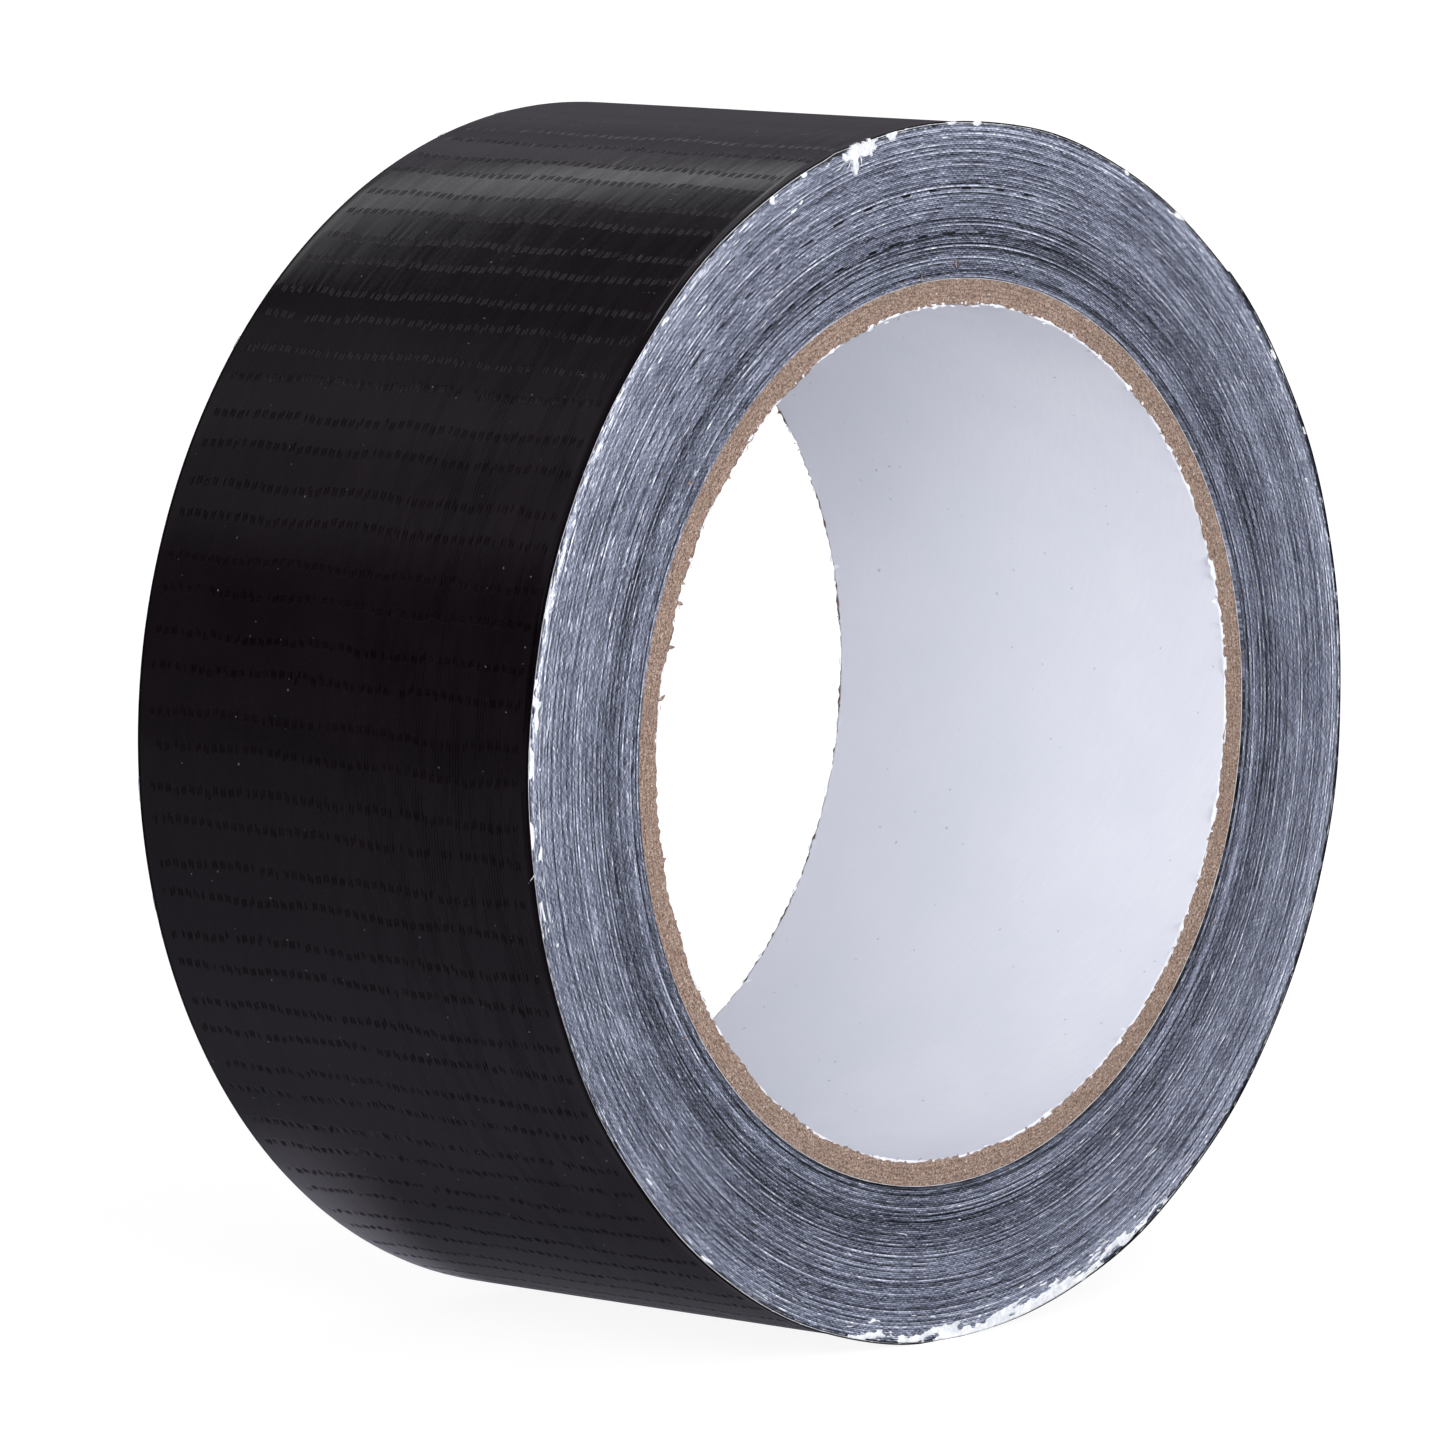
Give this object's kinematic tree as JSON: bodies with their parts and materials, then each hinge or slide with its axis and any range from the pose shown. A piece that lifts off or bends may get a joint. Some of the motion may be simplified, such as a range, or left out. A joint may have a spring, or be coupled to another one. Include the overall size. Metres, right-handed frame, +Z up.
{
  "type": "duct tape roll",
  "caption": "Roll of black cloth-backed adhesive tape wound on a spiral paper core, standing on its rim, with a loose end that peels up.",
  "frame": {"origin": "centre of the core's bore, halfway across the tape", "axes": "+Y along the roll's axis, away from the cut face that the picture shows; +Z up, with the roll standing on its rim; +X to the right seen from the front (-Y)"},
  "size_m": [0.1085, 0.0478, 0.1083],
  "materials": {
    "backing_film": "gloss",
    "tape_laminate": "satin",
    "adhesive": "satin",
    "cloth_yarn": "matte",
    "kraft_board": "matte",
    "liner_paper": "matte"
  },
  "bodies": {
    "roll": {"core_liner": "liner_paper", "core_ply_1": "kraft_board", "core_ply_2": "kraft_board", "core_ply_3": "kraft_board", "core_ply_4": "kraft_board", "first_turn_adhesive": "adhesive", "tape_pack": "tape_laminate", "outer_turn_adhesive": "adhesive", "outer_turn_weft_yarns": "cloth_yarn", "outer_turn_warp_yarns": "cloth_yarn", "outer_turn_film": "backing_film"},
    "end_tab": {"end_tab_adhesive": "adhesive", "end_tab_weft_yarns": "cloth_yarn", "end_tab_warp_yarns": "cloth_yarn", "end_tab_film": "backing_film"}
  },
  "joints": [
    {"name": "end_tab_peel", "type": "hinge", "parent": "roll", "child": "end_tab", "pos_m": [0.05186, 0, 0.01607], "axis": [0, 1, 0], "range_deg": [0, 150]}
  ]
}
